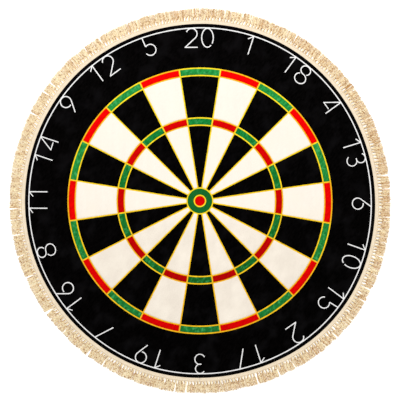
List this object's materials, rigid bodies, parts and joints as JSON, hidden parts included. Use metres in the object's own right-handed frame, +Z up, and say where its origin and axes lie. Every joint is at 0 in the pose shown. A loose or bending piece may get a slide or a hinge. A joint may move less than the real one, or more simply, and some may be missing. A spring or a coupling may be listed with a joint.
{
  "type": "beach towel",
  "caption": "Round fringed cotton beach towel, laid flat, printed as a dartboard: black and ivory beds, red and green rings, yellow wires and white numbers on a black surround.",
  "frame": {"origin": "on the floor below the bull, at the middle of the towel's underside", "axes": "+Z up out of the printed side, +Y from the bull to the number 20, +X from the bull to the number 6"},
  "size_m": [1.524, 1.524, 0.0055],
  "materials": {
    "terry_white": "looped cotton terry, matt",
    "ground_white": "plain woven cotton, matt",
    "velour_black": "sheared cotton velour, matt",
    "velour_ivory": "sheared cotton velour, matt",
    "velour_red_bright": "sheared cotton velour, matt",
    "velour_red_mid": "sheared cotton velour, matt",
    "velour_red_deep": "sheared cotton velour, matt",
    "velour_green_bright": "sheared cotton velour, matt",
    "velour_green_mid": "sheared cotton velour, matt",
    "velour_green_deep": "sheared cotton velour, matt",
    "velour_yellow": "sheared cotton velour, matt",
    "velour_white": "sheared cotton velour, matt",
    "heading_cream": "woven cotton tape, matt",
    "thread_cream": "cotton sewing thread, matt",
    "overlock_white": "spun polyester thread, matt",
    "fringe_cream": "cut cotton yarn, matt",
    "label_white": "woven satin ribbon, slight sheen",
    "label_thread": "spun polyester thread, matt"
  },
  "bodies": {
    "root": {"terry_pile_underside": "terry_white", "ground_weave": "ground_white", "velour_black_surround": "velour_black", "velour_black_beds": "velour_black", "velour_ivory_beds": "velour_ivory", "velour_red_doubles": "velour_red_bright", "velour_green_doubles": "velour_green_bright", "velour_red_trebles": "velour_red_mid", "velour_green_trebles": "velour_green_mid", "velour_outer_bull": "velour_green_deep", "velour_inner_bull": "velour_red_deep", "velour_yellow_wires": "velour_yellow", "velour_white_number_ring": "velour_white", "edge_overlock_thread": "overlock_white", "heading_tape": "heading_cream", "heading_chain_stitch": "thread_cream", "heading_stitch_inner": "thread_cream", "heading_stitch_outer": "thread_cream", "brush_fringe": "fringe_cream", "care_label": "label_white", "care_label_stitching": "label_thread"}
  },
  "joints": []
}
